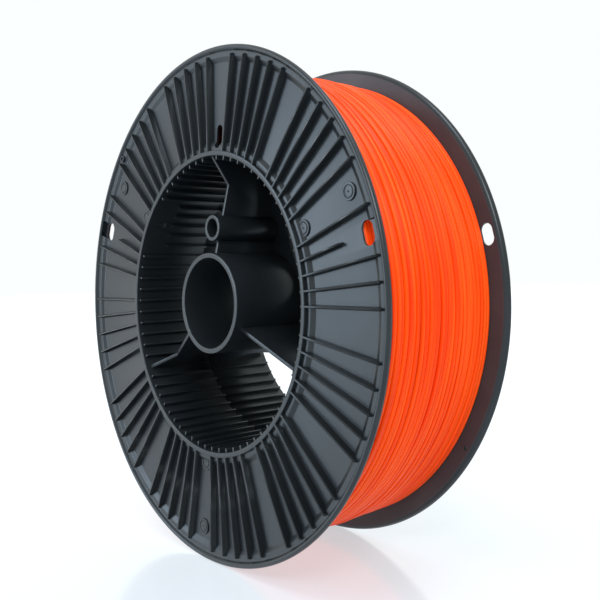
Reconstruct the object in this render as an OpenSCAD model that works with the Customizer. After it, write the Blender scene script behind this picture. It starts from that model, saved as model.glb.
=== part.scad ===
// Large two-half filament spool, lying on its rims with its axle along Y.
// Every sub-part of a half is drawn face up: X to the right, Y up the standing
// spool, Z = 0 on the outer face, with material below it. stand() then turns it
// into place, once for the front half and mirrored for the rear half.

/* [Spool] */
// Outside diameter of both flanges
flange_d = 300; // [290:1:310]
// Width over the two outer faces
spool_w = 94; // [88:1:104]
// Inside diameter of the drum that carries the filament
drum_id = 172.8; // [168:0.2:174]
// Wall thickness of the drum
drum_wall = 2.8; // [2:0.1:3]

/* [Flanges] */
// Thickness of a flange from its outer face to the filament
flange_t = 4.6; // [4.2:0.1:6]
// Depth of the flange floor below the outer face
floor_depth = 3.4; // [3:0.1:3.6]
// Depth of the ledges along the rim and the drum collar
ledge_depth = 1.8; // [1.2:0.1:2.2]
// Angle from one rib to the next
rib_step = 5; // [5]
// Width of a flange rib at its crest
rib_crest = 1.3; // [1:0.1:1.6]
// Width of a flange rib at the floor
rib_foot = 2.2; // [1.8:0.1:2.6]

/* [Filament slots] */
// Length of a filament slot around the flange
slot_len = 12.5; // [11:0.5:14]
// Width of a filament slot
slot_w = 8; // [7:0.2:8.4]
// Distance of the front slots from the axle
front_slot_r = 138.4; // [137:0.1:139]
// Distance of the rear slots from the axle
rear_slot_r = 142; // [141:0.1:142.6]

/* [Hub] */
// Diameter of the bore for the holder's axle
hub_bore = 53; // [50:0.5:54]
// Wall thickness of the hub tube
hub_wall = 3; // [2.5:0.1:4]
// Distance of the drive hole from the axle
drive_r = 44.2; // [42:0.1:48]
// Diameter of the drive hole
drive_bore = 11; // [9:0.5:12]
// Outside diameter of the drive tube
drive_od = 15.4; // [14:0.2:17]
// Thickness of the three webs
web_t = 2.2; // [1.8:0.1:3]
// Thickness of the plate where a half meets the other
plate_t = 1.5; // [1.2:0.1:3]

/* [Filament] */
// Outside diameter of the full winding
winding_d = 278; // [240:1:279]

/* [Hidden] */
$fn = 96;
over = 1;
half_w = spool_w / 2;
flange_r = flange_d / 2;
drum_ir = drum_id / 2;
drum_or = drum_ir + drum_wall;
hub_r = hub_bore / 2;
hub_or = hub_r + hub_wall;
inner_end = half_w - plate_t;

// Flange section
rim_w = 2;
rim_round = 0.7;
rim_edge = 2;
rim_bevel = flange_t - rim_edge;
ledge_out = flange_r - 4;
ledge_in = flange_r - 6.6;
floor_out = flange_r - 9.4;
collar_ledge = drum_or + 3;
floor_in = drum_or + 5.3;

// Ribs of the flange: one in six is left out
rib_out = flange_r - 6;
rib_count = 360 / rib_step;
gap_first = 25;
gap_step = 30;
slot_angles = [15, 160];
short_rib_out = 120;

// Round ejector bosses, in three of the gaps
boss_angles = [25, 145, 265];
boss_radii = [94.8, 133.4];
boss_r = 4.6;
boss_h = 0.8;
boss_groove_r = 3.4;
boss_groove_w = 0.5;
boss_groove_depth = 0.4;

// Slot by the drum where the filament's inner end is held
start_angle = 85;
start_in = drum_or + 1.5;
start_out = 104.5;
start_w = 5.6;

// Pocket between each filament slot and the rim
pocket_w = 11;
pocket_out = flange_r - 1.8;

// Small holes near the rim
pin_hole_r = 1.3;
front_pin_angle = 138.3;
rear_pin_angle = 325.5;
pin_hole_at = flange_r - 5.2;
pin_boss_r = 2.4;

// Ribs inside the drum
drum_rib_in = drum_ir - 2.4;
drum_rib_t = 1.2;
drum_rib_start = 1.5;
pad_from = 135;
pad_to = 155;
pad_rib_start = 16.7;

// Direction arrow on the drum's smooth pad
arrow_at = 145;
arrow_depth = 9;
arrow_len = 7;
arrow_w = 5;
arrow_h = 0.6;

// Webs
web_angles = [90, 210, 330];
web_hub_depth = 5.4;
web_kink_r = 70.4;
web_kink_depth = 14.4;
web_drum_depth = 2.8;
drive_start = 3;

// Windows of the joining plate: one shallow arc each
window_arc_r = 150;
window_in = 33;
window_angles = [30, 150, 270];

// Outline of the winding: it falls away in front and stays nearly full at the rear
winding_r = winding_d / 2;
winding_half = half_w - flange_t;
winding_ir = drum_or + 0.05;
front_fall = 6;
front_fall_w = 7;
rear_fall = 0.8;
rear_fall_w = 5;

moulding_colour = "#4a535b";
filament_colour = "#ff5320";

function is_gap(a) = (a - gap_first) % gap_step == 0;
function is_short(a) = len(search(a, slot_angles)) > 0;
function on_pad(a) = a >= pad_from && a <= pad_to;
function on_web(a) = len(search(a, web_angles)) > 0;

// Turns a face-up drawing into its place in the standing spool
module stand(side) {
    translate([0, 0, flange_r])
        if (side == "rear")
            mirror([0, 1, 0])
                translate([0, -half_w, 0])
                    rotate([90, 0, 0])
                        children();
        else
            translate([0, -half_w, 0])
                rotate([90, 0, 0])
                    children();
}

// Straight round hole or post along the axle, from one depth to another
module post(r, from, to) {
    translate([0, 0, -to])
        cylinder(r = r, h = to - from);
}

// Long hole with round ends, its length along Y
module long_hole(len, w, from, to) {
    for (end = [-1, 1])
        translate([0, end * (len - w) / 2, 0])
            post(w / 2, from, to);
    translate([-w / 2, -(len - w) / 2, -to])
        cube([w, len - w, to - from]);
}

module flange_section() {
    polygon([
        [drum_or - over, -ledge_depth],
        [collar_ledge, -ledge_depth],
        [floor_in, -floor_depth],
        [floor_out, -floor_depth],
        [ledge_in, -ledge_depth],
        [ledge_out, -ledge_depth + 0.1],
        [flange_r - rim_w - rim_round, -rim_round],
        [flange_r - rim_w, 0],
        [flange_r - rim_round, 0],
        [flange_r, -rim_round],
        [flange_r, -rim_edge],
        [flange_r - rim_bevel, -flange_t],
        [drum_or - over, -flange_t]
    ]);
}

module flange_rib(a, out) {
    rotate([0, 0, a])
        translate([drum_or - over / 2, 0, 0])
            rotate([90, 0, 90])
                linear_extrude(height = out - drum_or + over / 2)
                    polygon([
                        [-rib_foot / 2, -floor_depth - 0.2],
                        [rib_foot / 2, -floor_depth - 0.2],
                        [rib_crest / 2, 0],
                        [-rib_crest / 2, 0]
                    ]);
}

module boss(r) {
    top = -floor_depth + boss_h;
    translate([r, 0, 0])
        difference() {
            post(boss_r, floor_depth - boss_h, floor_depth + 0.2);
            translate([0, 0, top - boss_groove_depth])
                difference() {
                    cylinder(r = boss_groove_r, h = over);
                    translate([0, 0, -over])
                        cylinder(r = boss_groove_r - boss_groove_w, h = 3 * over);
                }
        }
}

module pin_boss(a) {
    rotate([0, 0, a])
        translate([pin_hole_at, 0, 0])
            post(pin_boss_r, ledge_depth - 1, floor_depth + 0.2);
}

module pin_hole(a) {
    rotate([0, 0, a])
        translate([pin_hole_at, 0, 0])
            post(pin_hole_r, -over, flange_t + over);
}

module slot_cut(a, r) {
    rotate([0, 0, a]) {
        translate([r, 0, 0])
            long_hole(slot_len, slot_w, -over, flange_t + over);
        translate([r, -pocket_w / 2, -floor_depth])
            cube([pocket_out - r, pocket_w, floor_depth - rim_round]);
    }
}

module start_cut() {
    rotate([0, 0, start_angle]) {
        translate([start_in, -start_w / 2, -flange_t - over])
            cube([start_out - start_in - start_w / 2, start_w, flange_t + 2 * over]);
        translate([start_out - start_w / 2, 0, 0])
            post(start_w / 2, -over, flange_t + over);
    }
}

module flange(side, slot_r, pin_angle) {
    color(moulding_colour)
        stand(side)
            difference() {
                union() {
                    rotate_extrude() flange_section();
                    for (i = [0 : rib_count - 1])
                        if (!is_gap(i * rib_step))
                            flange_rib(i * rib_step,
                                is_short(i * rib_step) ? short_rib_out : rib_out);
                    for (a = boss_angles)
                        for (r = boss_radii)
                            rotate([0, 0, a]) boss(r);
                    pin_boss(pin_angle);
                }
                post(drum_or, -over, flange_t + over);
                for (a = slot_angles) slot_cut(a, slot_r);
                start_cut();
                pin_hole(pin_angle);
            }
}

module drum_rib(a, start) {
    rotate([0, 0, a])
        translate([drum_rib_in, -drum_rib_t / 2, -half_w - 2 * over])
            cube([drum_or - drum_rib_in - over, drum_rib_t, half_w + 2 * over - start]);
}

module arrow() {
    rotate([0, 0, arrow_at])
        translate([drum_ir + 0.3, 0, -arrow_depth])
            rotate([90, 0, -90])
                linear_extrude(height = arrow_h + 0.3)
                    polygon([
                        [-arrow_w / 2, arrow_len / 2],
                        [arrow_w / 2, arrow_len / 2],
                        [0, -arrow_len / 2]
                    ]);
}

// The hollow of the drum: a round hole that stops short of the ribs and the arrow
module drum_hollow() {
    difference() {
        post(drum_ir, -over, half_w + over);
        for (i = [0 : rib_count - 1])
            if (!on_web(i * rib_step))
                drum_rib(i * rib_step,
                    on_pad(i * rib_step) ? pad_rib_start : drum_rib_start);
        arrow();
    }
}

module drum(side) {
    color(moulding_colour)
        stand(side)
            difference() {
                post(drum_or, 0, half_w);
                drum_hollow();
            }
}

module hub_tube(side) {
    color(moulding_colour)
        stand(side)
            difference() {
                post(hub_or, 0, inner_end);
                post(hub_r, -over, inner_end + over);
            }
}

module drive_tube(side) {
    color(moulding_colour)
        stand(side)
            translate([0, drive_r, 0])
                difference() {
                    post(drive_od / 2, drive_start, inner_end);
                    post(drive_bore / 2, drive_start - over, inner_end + over);
                }
}

module web(side, a) {
    color(moulding_colour)
        stand(side)
            difference() {
                intersection() {
                    rotate([0, 0, a])
                        translate([0, web_t / 2, 0])
                            rotate([90, 0, 0])
                                linear_extrude(height = web_t)
                                    polygon([
                                        [hub_r, -web_hub_depth],
                                        [hub_or, -web_hub_depth],
                                        [web_kink_r, -web_kink_depth],
                                        [drum_ir, -web_drum_depth],
                                        [drum_or, -web_drum_depth],
                                        [drum_or, -inner_end],
                                        [hub_r, -inner_end]
                                    ]);
                    post(drum_ir, 0, half_w);
                }
                post(hub_or, -over, half_w + over);
                if (a == web_angles[0])
                    translate([0, drive_r, 0])
                        post(drive_od / 2, -over, half_w + over);
            }
}

module joining_plate(side) {
    color(moulding_colour)
        stand(side)
            difference() {
                post(drum_rib_in - 0.05, inner_end, half_w);
                post(hub_r, inner_end - over, half_w + over);
                translate([0, drive_r, 0])
                    post(drive_bore / 2, inner_end - over, half_w + over);
                for (a = window_angles)
                    rotate([0, 0, a])
                        translate([window_in + window_arc_r, 0, 0])
                            post(window_arc_r, inner_end - over, half_w + over);
            }
}

module filament_winding() {
    color(filament_colour)
        translate([0, 0, flange_r])
            rotate([90, 0, 0])
                rotate_extrude()
                    polygon([
                        [winding_ir, -winding_half],
                        [winding_r - rear_fall, -winding_half],
                        [winding_r, -winding_half + rear_fall_w],
                        [winding_r, winding_half - 2 * front_fall_w],
                        [winding_r - rear_fall, winding_half - front_fall_w],
                        [winding_r - front_fall, winding_half],
                        [winding_ir, winding_half]
                    ]);
}

flange("front", front_slot_r, front_pin_angle);  // front_flange
drum("front");  // front_drum
hub_tube("front");  // front_hub_tube
drive_tube("front");  // front_drive_tube
web("front", web_angles[0]);  // front_top_web
web("front", web_angles[1]);  // front_left_web
web("front", web_angles[2]);  // front_right_web
joining_plate("front");  // front_joining_plate
flange("rear", rear_slot_r, rear_pin_angle);  // rear_flange
drum("rear");  // rear_drum
hub_tube("rear");  // rear_hub_tube
drive_tube("rear");  // rear_drive_tube
web("rear", web_angles[0]);  // rear_top_web
web("rear", web_angles[1]);  // rear_left_web
web("rear", web_angles[2]);  // rear_right_web
joining_plate("rear");  // rear_joining_plate
filament_winding();
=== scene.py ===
"""Finishes a large two-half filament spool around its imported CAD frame.

Run as a script. Each operator builds one group of pieces, and main() calls them
in order. All sizes are metres, in the frame's own axes: the axle lies along Y,
the front flange faces -Y and the rims stand on Z = 0.
"""

import math

import bmesh
import bpy
from bpy.props import FloatProperty, FloatVectorProperty, IntProperty, PointerProperty
from mathutils import Matrix, Vector, noise


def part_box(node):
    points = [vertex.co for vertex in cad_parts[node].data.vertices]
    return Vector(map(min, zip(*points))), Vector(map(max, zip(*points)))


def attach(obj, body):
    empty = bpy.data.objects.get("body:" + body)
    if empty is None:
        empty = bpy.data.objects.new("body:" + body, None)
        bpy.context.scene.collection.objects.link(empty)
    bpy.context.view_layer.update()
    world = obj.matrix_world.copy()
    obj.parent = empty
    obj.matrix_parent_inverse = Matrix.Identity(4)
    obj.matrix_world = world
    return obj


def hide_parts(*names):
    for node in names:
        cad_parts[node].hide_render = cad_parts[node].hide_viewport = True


bl_info = {
    "name": "Filament Spool Finish",
    "version": (1, 0, 0),
    "blender": (4, 5, 0),
    "location": "3D View > Sidebar > Spool",
    "description": "Moulded finish and wound filament for a two-half filament spool",
    "category": "Object",
}

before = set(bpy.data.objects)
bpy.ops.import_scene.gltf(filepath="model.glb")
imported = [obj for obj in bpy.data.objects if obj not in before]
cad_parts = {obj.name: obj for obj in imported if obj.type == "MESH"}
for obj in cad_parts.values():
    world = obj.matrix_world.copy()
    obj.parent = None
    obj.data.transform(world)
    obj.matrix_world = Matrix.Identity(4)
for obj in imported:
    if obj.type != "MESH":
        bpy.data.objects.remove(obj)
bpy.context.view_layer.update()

MM = 0.001
SIDES = ("front", "rear")


# ---------------------------------------------------------------- main sizes

def read_box(node):
    """Lowest and highest corner of a CAD node as two vectors."""
    low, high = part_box(node)
    return Vector(low), Vector(high)


FLANGE_LOW, FLANGE_HIGH = read_box("front_flange")
_, DRUM_HIGH = read_box("front_drum")
HUB_LOW, HUB_HIGH = read_box("front_hub_tube")
DRIVE_LOW, DRIVE_HIGH = read_box("front_drive_tube")
_, WOUND_HIGH = read_box("filament_winding")

AXLE_Z = round((FLANGE_LOW.z + FLANGE_HIGH.z) / 2, 4)
RIM_R = round(FLANGE_HIGH.z - AXLE_Z, 4)
HALF_W = round(-FLANGE_LOW.y, 4)
FLANGE_T = round(FLANGE_HIGH.y - FLANGE_LOW.y, 4)
DRUM_R = round(DRUM_HIGH.z - AXLE_Z, 4)
HUB_R = round(HUB_HIGH.z - AXLE_Z, 4)
TUBE_END = round(HUB_HIGH.y - HUB_LOW.y, 4)
DRIVE_R = round((DRIVE_HIGH.z - DRIVE_LOW.z) / 2, 4)
DRIVE_AT = round((DRIVE_HIGH.z + DRIVE_LOW.z) / 2 - AXLE_Z, 4)
DRIVE_START = round(DRIVE_LOW.y + HALF_W, 4)
WOUND_R = round(WOUND_HIGH.z - AXLE_Z, 4)
WOUND_HALF = round(WOUND_HIGH.y, 4)

# Bores, from the walls' thickness
DRUM_BORE = DRUM_R - 2.8 * MM
HUB_BORE = HUB_R - 3.0 * MM
DRIVE_BORE = DRIVE_R - 2.2 * MM

# Depths below the flange's outer face
FLOOR_DEPTH = 3.4 * MM
LEDGE_DEPTH = 1.8 * MM
BOSS_TOP = 2.6 * MM
PIN_BOSS_TOP = 0.8 * MM
SUNK = 0.2 * MM

# Flange ribs, slots, bosses and holes; angles in degrees from +X towards +Z
RIB_STEP = 5
RIB_OUT = {"long": 144.6 * MM, "short": 119.4 * MM}
RIB_END = 0.6 * MM
RIB_GAP_FIRST = 25
RIB_GAP_STEP = 30
SLOT_ANGLES = (15, 160)
SLOT_RADIUS = {"front": 138.4 * MM, "rear": 142.0 * MM}
SLOT_LENGTH = 12.5 * MM
SLOT_WIDTH = 8.0 * MM
BOSS_ANGLES = (25, 145, 265)
BOSS_RADII = (94.8 * MM, 133.4 * MM)
PIN_ANGLE = {"front": 138.3, "rear": 325.5}
PIN_RADIUS = RIM_R - 5.2 * MM
PIN_HOLE_D = 2.6 * MM
START_ANGLE = 85
START_IN = DRUM_R + 1.5 * MM
START_OUT = 104.5 * MM
START_WIDTH = 5.6 * MM
POCKET_DEPTH = 0.8 * MM
POCKET_HALF = 5.5 * MM
POCKET_OUT = RIM_R - 1.6 * MM
WEB_ANGLES = {"top": 90, "left": 210, "right": 330}

# Ribs inside the drum; over the smooth pad with the arrow they start deeper
PAD_ANGLES = (135, 155)
DRUM_RIB_IN = DRUM_BORE - 2.4 * MM
DRUM_RIB_HALF = 0.6 * MM
DRUM_RIB_START = 1.5 * MM
PAD_RIB_START = 16.7 * MM
ARROW_ANGLE = 145
ARROW_DEPTH = 9 * MM

# Where the coil starts, out of sight, and how far its end turns sink
COIL_START = 215
END_TURNS = 3
STRAND_JITTER = 0.45 * MM
STRAND_HUMP = 0.9 * MM
SECOND_STEPS = 120
FRONT_DIP = 12 * MM
REAR_DIP = 0.3 * MM

ROUND_STEPS = 360
SHARP_ANGLE = math.radians(30)
# Colour of the flanges' inner faces: lighter and warmer than the moulding, as painted orange
# bounce light from the winding
INNER_FACE_PAINTED_BOUNCE = "#343032"


class SpoolMouldingSettings(bpy.types.PropertyGroup):
    """Sizes and colour of the moulded halves."""

    rib_crest: FloatProperty(
        name="Rib crest",
        description="Width of a flange rib at its crest",
        default=1.1 * MM,
        unit="LENGTH",
    )
    rib_foot: FloatProperty(
        name="Rib foot",
        description="Width of a flange rib at the floor",
        default=2.2 * MM,
        unit="LENGTH",
    )
    edge_round: FloatProperty(
        name="Edge rounding",
        description="Radius on the moulded edges",
        default=0.28 * MM,
        unit="LENGTH",
    )
    web_thickness: FloatProperty(
        name="Web thickness",
        description="Thickness of the webs between hub and drum",
        default=2.2 * MM,
        unit="LENGTH",
    )
    colour: FloatVectorProperty(
        name="Moulding colour",
        description="Colour of the moulded plastic, as sRGB values",
        subtype="COLOR_GAMMA",
        default=(0x14 / 255, 0x18 / 255, 0x1B / 255),
        min=0,
        max=1,
    )


class SpoolFilamentSettings(bpy.types.PropertyGroup):
    """Sizes and colour of the wound filament."""

    diameter: FloatProperty(
        name="Strand diameter",
        description="Diameter of the filament",
        default=2.85 * MM,
        unit="LENGTH",
    )
    wander: FloatProperty(
        name="Wander",
        description="How far a turn drifts along the axle",
        default=1.5 * MM,
        unit="LENGTH",
    )
    steps: IntProperty(
        name="Steps per turn",
        description="Straight pieces in each turn of the outer layer",
        default=180,
        min=60,
        max=240,
    )
    colour: FloatVectorProperty(
        name="Filament colour",
        description="Colour of the filament, as sRGB values",
        subtype="COLOR_GAMMA",
        default=(0xFA / 255, 0x47 / 255, 0x00 / 255),
        min=0,
        max=1,
    )


# ----------------------------------------------------------------- materials

def linear(colour):
    """Turns sRGB values, or a hex string, into a linear colour with alpha."""
    if isinstance(colour, str):
        colour = [int(colour[i:i + 2], 16) / 255 for i in (1, 3, 5)]
    channels = [c / 12.92 if c <= 0.04045 else ((c + 0.055) / 1.055) ** 2.4 for c in colour]
    return (*channels, 1.0)


def add_node(tree, kind, links=None, **settings):
    """Adds a node; settings are properties or input values, links are input to output socket."""
    node = tree.nodes.new(kind)
    for name, value in settings.items():
        if hasattr(node, name):
            setattr(node, name, value)
        else:
            node.inputs[name.replace("_", " ")].default_value = value
    for name, source in (links or {}).items():
        tree.links.new(source, node.inputs[name])
    return node


def new_material(name):
    """An empty node material with its shader; returns the material, tree and shader."""
    material = bpy.data.materials.new(name)
    material.use_nodes = True
    tree = material.node_tree
    shader = tree.nodes["Principled BSDF"]
    return material, tree, shader


def moulded_plastic(name, colour, smooth, dull):
    """Injection-moulded polystyrene: satin, dark blue-grey, with faint flow marks
    and a fine spark-eroded grain. Roughness drifts between smooth and dull."""
    material, tree, shader = new_material(name)
    shader.inputs["IOR"].default_value = 1.48
    shader.inputs["Specular Tint"].default_value = (0.86, 0.96, 1.0, 1.0)
    place = add_node(tree, "ShaderNodeTexCoord").outputs["Object"]
    # flow marks run for about 25 mm and shift the shade a little
    flow = add_node(tree, "ShaderNodeTexNoise", {"Vector": place}, Scale=40.0, Detail=3.0)
    base = linear(colour)
    deep = (base[0] * 0.86, base[1] * 0.87, base[2] * 0.9, 1.0)
    pale = (base[0] * 1.13, base[1] * 1.12, base[2] * 1.1, 1.0)
    shade = add_node(tree, "ShaderNodeValToRGB", {"Fac": flow.outputs["Fac"]})
    shade.color_ramp.elements[0].position = 0.35
    shade.color_ramp.elements[0].color = deep
    shade.color_ramp.elements[1].position = 0.65
    shade.color_ramp.elements[1].color = pale
    tree.links.new(shade.outputs["Color"], shader.inputs["Base Color"])
    # handling polish follows the flow marks
    gloss = add_node(tree, "ShaderNodeMapRange", {"Value": flow.outputs["Fac"]})
    gloss.inputs["To Min"].default_value = dull
    gloss.inputs["To Max"].default_value = smooth
    tree.links.new(gloss.outputs["Result"], shader.inputs["Roughness"])
    # the real grain is about 0.1 mm; drawn at 0.8 mm so that it shows
    grain = add_node(tree, "ShaderNodeTexNoise", {"Vector": place}, Scale=1250.0, Detail=2.0)
    bump = add_node(tree, "ShaderNodeBump", {"Height": grain.outputs["Fac"]},
                    Strength=0.12, Distance=0.05 * MM)
    tree.links.new(bump.outputs["Normal"], shader.inputs["Normal"])
    return material


def extruded_filament(colour):
    """Extruded PLA strand: saturated orange, slightly translucent, glossy where the
    nozzle smoothed it, with a small change of tint from turn to turn."""
    material, tree, shader = new_material("extruded_pla_filament")
    shader.inputs["IOR"].default_value = 1.46
    shader.inputs["Specular IOR Level"].default_value = 0.15
    shader.inputs["Subsurface Weight"].default_value = 0.04
    shader.inputs["Subsurface Radius"].default_value = (1.0, 0.35, 0.1)
    shader.inputs["Subsurface Scale"].default_value = 1.2 * MM
    place = add_node(tree, "ShaderNodeTexCoord").outputs["Object"]
    # tint bands lie along the turns: about one per 3 mm strand, and slow round the drum
    band = add_node(tree, "ShaderNodeMapping", {"Vector": place})
    band.inputs["Scale"].default_value = (9.0, 330.0, 9.0)
    tint = add_node(tree, "ShaderNodeTexNoise", {"Vector": band.outputs["Vector"]},
                    Scale=1.0, Detail=2.0)
    base = linear(colour)
    deep = (base[0] * 0.86, base[1] * 0.6, base[2], 1.0)
    pale = (base[0], base[1] * 1.5, base[2] + 0.004, 1.0)
    shade = add_node(tree, "ShaderNodeValToRGB", {"Fac": tint.outputs["Fac"]})
    shade.color_ramp.elements[0].position = 0.3
    shade.color_ramp.elements[0].color = deep
    shade.color_ramp.elements[1].position = 0.7
    shade.color_ramp.elements[1].color = pale
    tree.links.new(shade.outputs["Color"], shader.inputs["Base Color"])
    gloss = add_node(tree, "ShaderNodeMapRange", {"Value": tint.outputs["Fac"]})
    gloss.inputs["To Min"].default_value = 0.30
    gloss.inputs["To Max"].default_value = 0.42
    tree.links.new(gloss.outputs["Result"], shader.inputs["Roughness"])
    return material


def studio_floor():
    """Backlit white acrylic table: it glows evenly and mirrors softly."""
    material, tree, shader = new_material("backlit_white_acrylic")
    place = add_node(tree, "ShaderNodeTexCoord").outputs["Object"]
    cloud = add_node(tree, "ShaderNodeTexNoise", {"Vector": place}, Scale=6.0)
    gloss = add_node(tree, "ShaderNodeMapRange", {"Value": cloud.outputs["Fac"]})
    gloss.inputs["To Min"].default_value = 0.13
    gloss.inputs["To Max"].default_value = 0.17
    tree.links.new(gloss.outputs["Result"], shader.inputs["Roughness"])
    shader.inputs["IOR"].default_value = 1.6
    shader.inputs["Base Color"].default_value = linear("#8c949b")
    shader.inputs["Emission Color"].default_value = linear("#f6fbff")
    shader.inputs["Emission Strength"].default_value = 0.58
    return material


# ------------------------------------------------------------- mesh building

def add_profile(bm, points, rounding):
    """A closed outline of (radius, depth) points with rounded corners.

    Depth counts from the front outer face. The outline lies at angle 0."""
    corners = [bm.verts.new((r, depth - HALF_W, 0)) for r, depth in points]
    face = bm.faces.new(corners)
    if rounding > 0:
        bmesh.ops.bevel(bm, geom=corners, offset=rounding, offset_type="OFFSET", segments=3,
                        profile=0.5, affect="VERTICES", clamp_overlap=True, material=-1)
    bm.faces.ensure_lookup_table()
    return face if face.is_valid else bm.faces[-1]


def revolve(points, rounding=0.35 * MM, steps=ROUND_STEPS, centre=(0, 0)):
    """A ring turned about the axle, or about a line beside it, from a closed outline."""
    bm = bmesh.new()
    face = add_profile(bm, points, rounding)
    outline = face.edges[:] + face.verts[:]
    bmesh.ops.spin(bm, geom=outline, cent=(0, 0, 0), axis=(0, 1, 0), dvec=(0, 0, 0),
                   angle=math.tau, steps=steps, use_merge=True, use_normal_flip=False,
                   use_duplicate=False)
    bmesh.ops.delete(bm, geom=[face], context="FACES_ONLY")
    bmesh.ops.translate(bm, verts=bm.verts, vec=(centre[0], 0, centre[1]))
    return bm


def turned_to(angle):
    """The turn about the axle that takes +X to an angle measured towards +Z."""
    return Matrix.Rotation(-math.radians(angle), 4, "Y")


def extrude_face(bm, face, move):
    """Extrudes one face by a vector and returns the new end face."""
    grown = bmesh.ops.extrude_face_region(bm, geom=[face])
    moved = [g for g in grown["geom"] if isinstance(g, bmesh.types.BMVert)]
    bmesh.ops.translate(bm, verts=moved, vec=move)
    return next(g for g in grown["geom"] if isinstance(g, bmesh.types.BMFace))


def bar(points, along, rounding, segments=2):
    """A straight bar: a closed outline extruded by a vector, its edges rounded."""
    bm = bmesh.new()
    face = bm.faces.new([bm.verts.new(p) for p in points])
    extrude_face(bm, face, along)
    bmesh.ops.recalc_face_normals(bm, faces=bm.faces)
    if rounding > 0:
        bmesh.ops.bevel(bm, geom=bm.edges[:], offset=rounding, offset_type="OFFSET",
                        segments=segments, profile=0.5, affect="EDGES",
                        clamp_overlap=True, material=-1)
    return bm


def absorb(bm, other, matrix=None):
    """Adds a copy of another bmesh, moved by a matrix."""
    mesh = bpy.data.meshes.new("part")
    other.to_mesh(mesh)
    if matrix is not None:
        mesh.transform(matrix)
    bm.from_mesh(mesh)
    bpy.data.meshes.remove(mesh)


def long_hole_cutter(length, width, low, high):
    """An upright prism with round ends, its length along Z, between two depths."""
    bm = bmesh.new()
    straight = (length - width) / 2
    half = bmesh.ops.create_circle(bm, cap_ends=False, segments=48, radius=width / 2)["verts"]
    turn = Matrix.Rotation(math.radians(90), 4, "X")
    bmesh.ops.transform(bm, matrix=turn, verts=bm.verts)
    for v in half:
        v.co.z += straight if v.co.z > 0 else -straight
    face = bmesh.ops.contextual_create(bm, geom=bm.edges[:])["faces"][0]
    bmesh.ops.translate(bm, verts=bm.verts, vec=(0, low - HALF_W, 0))
    extrude_face(bm, face, (0, high - low, 0))
    bmesh.ops.recalc_face_normals(bm, faces=bm.faces)
    return bm


def block_cutter(low, high):
    """A box between two corners given as (radius, depth, sideways)."""
    bm = bmesh.new()
    bmesh.ops.create_cube(bm, size=1)
    size = [b - a for a, b in zip(low, high)]
    middle = [(a + b) / 2 for a, b in zip(low, high)]
    bmesh.ops.scale(bm, vec=size, verts=bm.verts)
    bmesh.ops.translate(bm, verts=bm.verts, vec=(middle[0], middle[1] - HALF_W, middle[2]))
    return bm


def cut(bm, cutters):
    """Cuts closed cutters out of a closed bmesh with the exact solver."""
    def as_object(source, name):
        bmesh.ops.recalc_face_normals(source, faces=source.faces)
        mesh = bpy.data.meshes.new(name)
        source.to_mesh(mesh)
        source.free()
        obj = bpy.data.objects.new(name, mesh)
        bpy.context.collection.objects.link(obj)
        return obj

    body = as_object(bm, "cut_body")
    tools = [as_object(c, "cut_tool") for c in cutters]
    for tool in tools:
        modifier = body.modifiers.new("cut", "BOOLEAN")
        modifier.operation = "DIFFERENCE"
        modifier.solver = "EXACT"
        modifier.object = tool
    bpy.context.view_layer.update()
    evaluated = body.evaluated_get(bpy.context.evaluated_depsgraph_get())
    result = bmesh.new()
    result.from_mesh(evaluated.to_mesh())
    for obj in [body, *tools]:
        mesh = obj.data
        bpy.data.objects.remove(obj)
        bpy.data.meshes.remove(mesh)
    return result


def finish_piece(bm, name, material, replaced, side="front"):
    """Turns a bmesh in spool space into a finished piece that replaces a CAD node."""
    if side == "rear":
        bmesh.ops.scale(bm, vec=(1, -1, 1), verts=bm.verts)
    bmesh.ops.remove_doubles(bm, verts=bm.verts, dist=0.002 * MM)
    bmesh.ops.translate(bm, verts=bm.verts, vec=(0, 0, AXLE_Z))
    bmesh.ops.recalc_face_normals(bm, faces=bm.faces)
    for face in bm.faces:
        face.smooth = True
    for edge in bm.edges:
        edge.smooth = not (edge.is_manifold and edge.calc_face_angle(0) > SHARP_ANGLE)
    mesh = bpy.data.meshes.new(name)
    bm.to_mesh(mesh)
    bm.free()
    mesh.materials.append(material)
    piece = bpy.data.objects.new(name, mesh)
    bpy.context.collection.objects.link(piece)
    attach(piece, "root")
    if replaced:
        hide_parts(replaced)
    return piece


def shared_material(name, make):
    """The material of that name, made on first use."""
    return bpy.data.materials.get(name) or make()


def moulding():
    settings = bpy.context.scene.spool_moulding
    name = "moulded_polystyrene_satin"
    return shared_material(name, lambda: moulded_plastic(name, settings.colour, 0.27, 0.37))


def matt_moulding_painted_bounce():
    """The flanges' inner faces: the same plastic with a matt roughness, in a lighter, warmer
    colour that is painted orange bounce light from the winding.
    """
    name = "moulded_polystyrene_matt_painted_bounce"
    return shared_material(name, lambda: moulded_plastic(name, INNER_FACE_PAINTED_BOUNCE, 0.42, 0.5))


# ------------------------------------------------------------------- flanges

def flange_disc():
    """Floor, ledges and rim of a flange in one turned ring."""
    return revolve([
        (DRUM_R - 1 * MM, LEDGE_DEPTH),
        (DRUM_R + 3 * MM, LEDGE_DEPTH),
        (DRUM_R + 5.3 * MM, FLOOR_DEPTH),
        (RIM_R - 9.4 * MM, FLOOR_DEPTH),
        (RIM_R - 6.6 * MM, LEDGE_DEPTH),
        (RIM_R - 3.6 * MM, LEDGE_DEPTH),
        (RIM_R - 3.1 * MM, 0.9 * MM),
        (RIM_R - 2.2 * MM, 0),
        (RIM_R - 0.9 * MM, 0),
        (RIM_R, 1.0 * MM),
        (RIM_R, 2.1 * MM),
        (RIM_R - 0.8 * MM, 3.6 * MM),
        (RIM_R - 2.6 * MM, FLANGE_T),
        (DRUM_R - 1 * MM, FLANGE_T),
    ], rounding=0.5 * MM)


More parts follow.
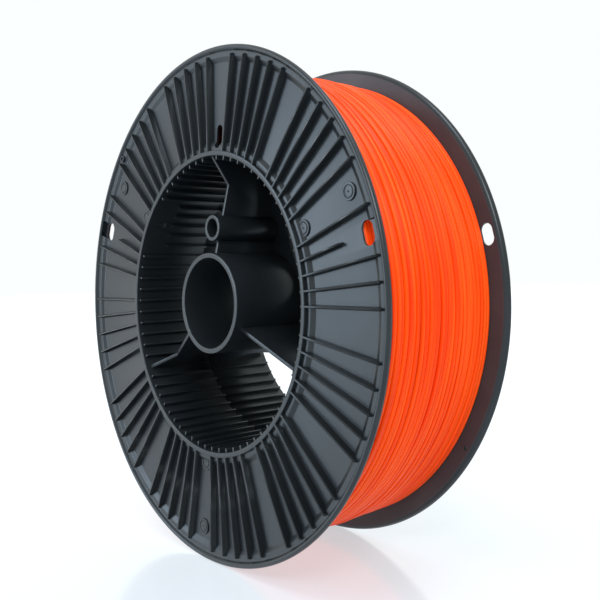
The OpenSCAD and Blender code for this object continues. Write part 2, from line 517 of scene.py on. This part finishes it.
def flange_cutters(side):
    """Filament slots with their pockets, the start slot and the pin hole."""
    through = (-1 * MM, FLANGE_T + 1 * MM)
    cutters = []
    for angle in SLOT_ANGLES:
        radius = SLOT_RADIUS[side]
        slot = long_hole_cutter(SLOT_LENGTH, SLOT_WIDTH, *through)
        bmesh.ops.translate(slot, verts=slot.verts, vec=(radius, 0, 0))
        pocket = block_cutter((radius, POCKET_DEPTH, -POCKET_HALF),
                              (POCKET_OUT, FLOOR_DEPTH, POCKET_HALF))
        for cutter in (slot, pocket):
            bmesh.ops.transform(cutter, matrix=turned_to(angle), verts=cutter.verts)
            cutters.append(cutter)
    start = long_hole_cutter(START_OUT - START_IN, START_WIDTH, *through)
    bmesh.ops.transform(start, matrix=Matrix.Rotation(math.radians(90), 4, "Y"), verts=start.verts)
    bmesh.ops.translate(start, verts=start.verts, vec=((START_IN + START_OUT) / 2, 0, 0))
    bmesh.ops.transform(start, matrix=turned_to(START_ANGLE), verts=start.verts)
    pin = long_hole_cutter(PIN_HOLE_D + 0.01 * MM, PIN_HOLE_D, *through)
    bmesh.ops.translate(pin, verts=pin.verts, vec=(PIN_RADIUS, 0, 0))
    bmesh.ops.transform(pin, matrix=turned_to(PIN_ANGLE[side]), verts=pin.verts)
    return [*cutters, start, pin]


def flange_rib(outer):
    """One radial rib along +X: drafted sides, a rounded crest and a sloped outer end."""
    settings = bpy.context.scene.spool_moulding
    foot, crest = settings.rib_foot / 2, settings.rib_crest / 2
    inner = DRUM_R - 0.5 * MM
    sunk = FLOOR_DEPTH + SUNK - HALF_W
    top = -HALF_W
    bm = bmesh.new()
    face = bm.faces.new([bm.verts.new(p) for p in (
        (inner, sunk, -foot), (inner, sunk, foot), (inner, top, crest), (inner, top, -crest))])
    end = extrude_face(bm, face, (outer - inner, 0, 0))
    tip = extrude_face(bm, end, (RIB_END, 0, 0))
    for v in tip.verts:
        if abs(v.co.y - top) < 0.1 * MM:
            v.co.y += LEDGE_DEPTH
    bmesh.ops.recalc_face_normals(bm, faces=bm.faces)
    crest_edges = [e for e in bm.edges if all(v.co.y < sunk - 0.5 * MM for v in e.verts)
                   and abs(e.verts[0].co.x - e.verts[1].co.x) > 0.1 * MM]
    bmesh.ops.bevel(bm, geom=crest_edges, offset=settings.edge_round, offset_type="OFFSET",
                    segments=3, profile=0.5, affect="EDGES", clamp_overlap=True, material=-1)
    return bm


def ejector_boss():
    """A low round boss with a groove round its face, turned about its own middle."""
    top = BOSS_TOP
    bottom = FLOOR_DEPTH + SUNK
    return revolve([
        (0.05 * MM, bottom), (0.05 * MM, top + 0.25 * MM), (0.7 * MM, top),
        (2.9 * MM, top), (3.0 * MM, top + 0.4 * MM), (3.4 * MM, top + 0.4 * MM),
        (3.5 * MM, top), (4.6 * MM, top), (4.8 * MM, bottom),
    ], rounding=0.12 * MM, steps=48)


def pin_boss():
    """The raised collar round the small rim hole."""
    return revolve([
        (PIN_HOLE_D / 2, PIN_BOSS_TOP), (2.4 * MM, PIN_BOSS_TOP),
        (2.5 * MM, FLOOR_DEPTH + SUNK), (PIN_HOLE_D / 2, FLOOR_DEPTH + SUNK),
    ], rounding=0.2 * MM, steps=48)


def build_flange(side):
    bm = cut(flange_disc(), flange_cutters(side))
    ribs = {kind: flange_rib(outer) for kind, outer in RIB_OUT.items()}
    for angle in range(0, 360, RIB_STEP):
        if (angle - RIB_GAP_FIRST) % RIB_GAP_STEP == 0:
            continue
        kind = "short" if angle in SLOT_ANGLES else "long"
        absorb(bm, ribs[kind], turned_to(angle))
    boss = ejector_boss()
    for angle in BOSS_ANGLES:
        for radius in BOSS_RADII:
            absorb(bm, boss, turned_to(angle) @ Matrix.Translation((radius, 0, 0)))
    absorb(bm, pin_boss(), turned_to(PIN_ANGLE[side]) @ Matrix.Translation((PIN_RADIUS, 0, 0)))
    flange = finish_piece(bm, f"{side}_flange_moulding", moulding(),
                          f"{side}_flange", side)
    # the inner faces, which face the winding, get the colour with the painted orange bounce light
    flange.data.materials.append(matt_moulding_painted_bounce())
    inward = 1 if side == "front" else -1
    for face in flange.data.polygons:
        if face.normal.y * inward > 0.9 and abs(face.center.y) < HALF_W - FLANGE_T + 0.1 * MM:
            face.material_index = 1


# --------------------------------------------------------- drum, hub and webs

def build_drum(side):
    """Drum wall with its axial ribs, smooth pad and raised arrow."""
    bm = revolve([
        (DRUM_BORE, 0), (DRUM_R, 0), (DRUM_R, HALF_W - 0.02 * MM), (DRUM_BORE, HALF_W - 0.02 * MM),
    ], rounding=0.45 * MM)
    for angle in range(0, 360, RIB_STEP):
        if angle in WEB_ANGLES.values():
            continue
        on_pad = PAD_ANGLES[0] <= angle <= PAD_ANGLES[1]
        start = (PAD_RIB_START if on_pad else DRUM_RIB_START) - HALF_W
        root, foot = DRUM_R - 1 * MM, DRUM_RIB_HALF * 1.4
        rib = bar([(DRUM_RIB_IN, start, -DRUM_RIB_HALF), (DRUM_RIB_IN, start, DRUM_RIB_HALF),
                   (root, start, foot), (root, start, -foot)],
                  (0, -0.02 * MM - start, 0), rounding=0.25 * MM)
        absorb(bm, rib, turned_to(angle))
    arrow_in = DRUM_BORE - 0.5 * MM
    depth = ARROW_DEPTH - HALF_W
    arrow = bar([(arrow_in, depth + 3.5 * MM, -2.5 * MM), (arrow_in, depth + 3.5 * MM, 2.5 * MM),
                 (arrow_in, depth - 3.5 * MM, 0)], (1.2 * MM, 0, 0), rounding=0.15 * MM)
    absorb(bm, arrow, turned_to(ARROW_ANGLE))
    finish_piece(bm, f"{side}_drum_moulding", moulding(), f"{side}_drum", side)


def build_hub_tube(side):
    bm = revolve([(HUB_BORE, 0), (HUB_R, 0), (HUB_R, TUBE_END), (HUB_BORE, TUBE_END)],
                 rounding=0.45 * MM, steps=180)
    finish_piece(bm, f"{side}_hub_tube_moulding", moulding(), f"{side}_hub_tube", side)


def build_drive_tube(side):
    bm = revolve([(DRIVE_BORE, DRIVE_START), (DRIVE_R, DRIVE_START),
                  (DRIVE_R, TUBE_END), (DRIVE_BORE, TUBE_END)],
                 rounding=0.4 * MM, steps=96, centre=(0, DRIVE_AT))
    finish_piece(bm, f"{side}_drive_tube_moulding", moulding(),
                 f"{side}_drive_tube", side)


def web_outline():
    """Front edge of a web, from the hub to the drum, as (radius, depth)."""
    return [(HUB_R - 1.5 * MM, 5.2 * MM), (70.4 * MM, 14.4 * MM), (DRUM_R - 1.2 * MM, 2.4 * MM)]


def build_web(side, place):
    half = bpy.context.scene.spool_moulding.web_thickness / 2
    edge = web_outline()
    pieces = [(edge[0][0], edge[2][0])]
    if place == "top":
        wall = DRIVE_R - 1.1 * MM
        pieces = [(edge[0][0], DRIVE_AT - wall), (DRIVE_AT + wall, edge[2][0])]

    def depth_at(radius):
        (r0, d0), (r1, d1), (r2, d2) = edge
        if radius <= r1:
            return d0 + (d1 - d0) * (radius - r0) / (r1 - r0)
        return d1 + (d2 - d1) * (radius - r1) / (r2 - r1)

    bm = bmesh.new()
    for low, high in pieces:
        front = [(low, depth_at(low)), (high, depth_at(high))]
        if low < edge[1][0] < high:
            front.insert(1, edge[1])
        outline = [*front, (high, TUBE_END), (low, TUBE_END)]
        plate = bar([(r, d - HALF_W, -half) for r, d in outline], (0, 0, 2 * half),
                    rounding=bpy.context.scene.spool_moulding.edge_round)
        absorb(bm, plate, turned_to(WEB_ANGLES[place]))
    finish_piece(bm, f"{side}_{place}_web_moulding", moulding(),
                 f"{side}_{place}_web", side)


# ------------------------------------------------------------------- winding

def smooth_noise(turn, angle, pace, seed, lobes=1.1):
    """Noise that is continuous along the strand: slow round the drum, pace per turn."""
    return noise.noise(Vector((turn * pace + seed, math.cos(angle) * lobes,
                               math.sin(angle) * lobes)))


def wound_layer(radius, half_width, sides, steps, seed, lift, wander):
    """One layer of turns as a continuous coil that drifts, dips and rides up.

    The first and last turns lie flat against the flanges."""
    diameter = bpy.context.scene.spool_filament.diameter
    reach = half_width - diameter / 2
    turns = int(2 * reach / diameter) + 2
    pitch = 2 * reach / (turns - 2)
    one = bmesh.new()
    bmesh.ops.create_circle(one, cap_ends=False, segments=sides, radius=diameter / 2)
    bmesh.ops.translate(one, verts=one.verts, vec=(radius, 0, 0))
    bmesh.ops.spin(one, geom=one.edges[:] + one.verts[:], cent=(0, 0, 0), axis=(0, -1, 0),
                   dvec=(0, 0, 0), angle=math.tau, steps=steps, use_merge=False,
                   use_normal_flip=False, use_duplicate=False)
    bmesh.ops.transform(one, matrix=turned_to(COIL_START), verts=one.verts)
    coil = bmesh.new()
    for count in range(turns):
        single = one.copy()
        for index, vert in enumerate(single.verts):
            turn = count + (index // sides) / steps
            angle = math.tau * turn + math.radians(COIL_START)
            outward = Vector((math.cos(angle), 0, math.sin(angle)))
            near_edge = min(1.0, turn / END_TURNS, (turns - turn) / END_TURNS)
            across = -reach + pitch * (turn - 1)
            across += wander * near_edge * smooth_noise(turn, angle, 0.16, seed)
            jitter = STRAND_JITTER * near_edge
            across += jitter * smooth_noise(turn, angle, 0.83, seed + 40, 1.7)
            rise = lift * near_edge * smooth_noise(turn, angle, 0.91, seed + 80, 1.3)
            hump = STRAND_HUMP * near_edge * smooth_noise(turn, angle, 0.11, seed + 120, 0.8)
            front_dip = FRONT_DIP * max(0.0, 1 - turn / 3.5) ** 1.5
            rear_dip = REAR_DIP * max(0.0, 1 - (turns - turn) / 2)
            vert.co += Vector((0, max(-reach, min(reach, across)), 0))
            vert.co += outward * (rise + hump - front_dip - rear_dip)
        absorb(coil, single)
        single.free()
    one.free()
    bmesh.ops.remove_doubles(coil, verts=coil.verts, dist=0.002 * MM)
    ends = [e for e in coil.edges if e.is_boundary]
    bmesh.ops.holes_fill(coil, edges=ends, sides=sides)
    return coil


def build_winding():
    settings = bpy.context.scene.spool_filament
    material = shared_material("extruded_pla_filament",
                               lambda: extruded_filament(settings.colour))
    half = settings.diameter / 2
    outer_r = WOUND_R - half - 0.1 * MM
    layers = [
        ("filament_outer_turns", outer_r, 10, settings.steps, 3.0, 1.1 * MM),
        ("filament_second_turns", outer_r - 2.3 * MM, 8, SECOND_STEPS, 17.0, 0.8 * MM),
    ]
    for name, radius, sides, steps, seed, lift in layers:
        bm = wound_layer(radius, WOUND_HALF, sides, steps, seed, lift, settings.wander)
        replaced = "filament_winding" if name == "filament_outer_turns" else None
        finish_piece(bm, name, material, replaced)
    core_r = outer_r - 3.6 * MM
    low, high = HALF_W - WOUND_HALF, HALF_W + WOUND_HALF
    # the first layers stand back from the front flange, behind the start slot
    core = revolve([(DRUM_R + 0.1 * MM, low + 14 * MM), (112 * MM, low + 12 * MM),
                    (118 * MM, low + 2 * MM), (core_r - 9 * MM, low + 0.5 * MM),
                    (core_r, low + 9 * MM), (core_r, high),
                    (DRUM_R + 0.1 * MM, high)], rounding=0.8 * MM)
    finish_piece(core, "filament_inner_turns", material, None)


# --------------------------------------------------------------------- stage

# The camera stands in front, to the right and a little above the axle
CAMERA_FROM_AXLE = Vector((0.40685, -0.30161, 0.01902))
CAMERA_TURN = (91.293, 0.823, 44.783)
CAMERA_LENS = 47.8
CAMERA_SHIFT = (-0.1573, -0.0833)


def aim(obj, target):
    """Turns a light so that it faces a point."""
    direction = Vector(target) - obj.location
    obj.rotation_euler = direction.to_track_quat("-Z", "Y").to_euler()


def soft_light(name, place, target, size, power, colour="#ffffff"):
    light = bpy.data.lights.new(name, "AREA")
    light.shape = "RECTANGLE"
    light.size, light.size_y = size
    light.energy = power
    light.color = linear(colour)[:3]
    obj = bpy.data.objects.new(name, light)
    obj.location = place
    bpy.context.collection.objects.link(obj)
    aim(obj, target)


def build_stage():
    bm = bmesh.new()
    bmesh.ops.create_grid(bm, x_segments=2, y_segments=2, size=6)
    mesh = bpy.data.meshes.new("studio_floor")
    bm.to_mesh(mesh)
    bm.free()
    mesh.materials.append(studio_floor())
    floor = bpy.data.objects.new("studio_floor", mesh)
    bpy.context.collection.objects.link(floor)

    world = bpy.data.worlds.new("studio_surround")
    world.use_nodes = True
    surround = world.node_tree.nodes["Background"]
    surround.inputs["Color"].default_value = linear("#fcffff")
    surround.inputs["Strength"].default_value = 1.0
    bpy.context.scene.world = world

    middle = (0, 0, AXLE_Z)
    soft_light("key_light", (0.95, -0.75, 0.95), middle, (0.35, 0.35), 8)
    soft_light("flange_panel", (-0.95, -1.2, 0.5), middle, (0.5, 0.9), 9, "#dcecff")
    soft_light("overhead_panel", (0.3, -0.35, 1.4), middle, (0.5, 0.5), 7, "#f0f6ff")

    camera = bpy.data.cameras.new("camera")
    camera.lens = CAMERA_LENS
    camera.sensor_width = 36
    camera.shift_x, camera.shift_y = CAMERA_SHIFT
    holder = bpy.data.objects.new("camera", camera)
    holder.location = Vector((0, 0, AXLE_Z)) + CAMERA_FROM_AXLE
    holder.rotation_euler = [math.radians(a) for a in CAMERA_TURN]
    bpy.context.collection.objects.link(holder)
    bpy.context.scene.camera = holder
    bpy.context.scene.view_settings.view_transform = "Standard"


# ----------------------------------------------------------------- operators

class SPOOL_OT_flanges(bpy.types.Operator):
    """Build both flanges with ribs, slots, bosses and rim"""

    bl_idname = "spool.flanges"
    bl_label = "Build flanges"

    def execute(self, context):
        for side in SIDES:
            build_flange(side)
        return {"FINISHED"}


class SPOOL_OT_drums(bpy.types.Operator):
    """Build both drum halves with their inner ribs"""

    bl_idname = "spool.drums"
    bl_label = "Build drums"

    def execute(self, context):
        for side in SIDES:
            build_drum(side)
        return {"FINISHED"}


class SPOOL_OT_tubes(bpy.types.Operator):
    """Build the hub tubes and the drive tubes"""

    bl_idname = "spool.tubes"
    bl_label = "Build tubes"

    def execute(self, context):
        for side in SIDES:
            build_hub_tube(side)
            build_drive_tube(side)
        return {"FINISHED"}


class SPOOL_OT_webs(bpy.types.Operator):
    """Build the six webs and finish the joining plates"""

    bl_idname = "spool.webs"
    bl_label = "Build webs"

    def execute(self, context):
        for side in SIDES:
            for place in WEB_ANGLES:
                build_web(side, place)
            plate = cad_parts[f"{side}_joining_plate"]
            plate.data.materials.clear()
            plate.data.materials.append(moulding())
        return {"FINISHED"}


class SPOOL_OT_winding(bpy.types.Operator):
    """Wind the filament onto the drum"""

    bl_idname = "spool.winding"
    bl_label = "Wind filament"

    def execute(self, context):
        build_winding()
        return {"FINISHED"}


class SPOOL_OT_stage(bpy.types.Operator):
    """Set the floor, the lights and the camera"""

    bl_idname = "spool.stage"
    bl_label = "Set stage"

    def execute(self, context):
        build_stage()
        return {"FINISHED"}


class SPOOL_PT_panel(bpy.types.Panel):
    """Sidebar panel with the spool's settings and build steps"""

    bl_idname = "SPOOL_PT_panel"
    bl_label = "Filament spool"
    bl_space_type = "VIEW_3D"
    bl_region_type = "UI"
    bl_category = "Spool"

    def draw(self, context):
        layout = self.layout
        for group in (context.scene.spool_moulding, context.scene.spool_filament):
            for name in group.__annotations__:
                layout.prop(group, name)
        for step in STEPS:
            layout.operator(step.bl_idname)


STEPS = (
    SPOOL_OT_flanges,
    SPOOL_OT_drums,
    SPOOL_OT_tubes,
    SPOOL_OT_webs,
    SPOOL_OT_winding,
    SPOOL_OT_stage,
)
CLASSES = (SpoolMouldingSettings, SpoolFilamentSettings, *STEPS, SPOOL_PT_panel)


def register():
    for cls in CLASSES:
        bpy.utils.register_class(cls)
    bpy.types.Scene.spool_moulding = PointerProperty(type=SpoolMouldingSettings)
    bpy.types.Scene.spool_filament = PointerProperty(type=SpoolFilamentSettings)


def unregister():
    del bpy.types.Scene.spool_moulding
    del bpy.types.Scene.spool_filament
    for cls in reversed(CLASSES):
        bpy.utils.unregister_class(cls)


def main():
    register()
    bpy.ops.spool.flanges()
    bpy.ops.spool.drums()
    bpy.ops.spool.tubes()
    bpy.ops.spool.webs()
    bpy.ops.spool.winding()
    bpy.ops.spool.stage()


if __name__ == "__main__":
    main()
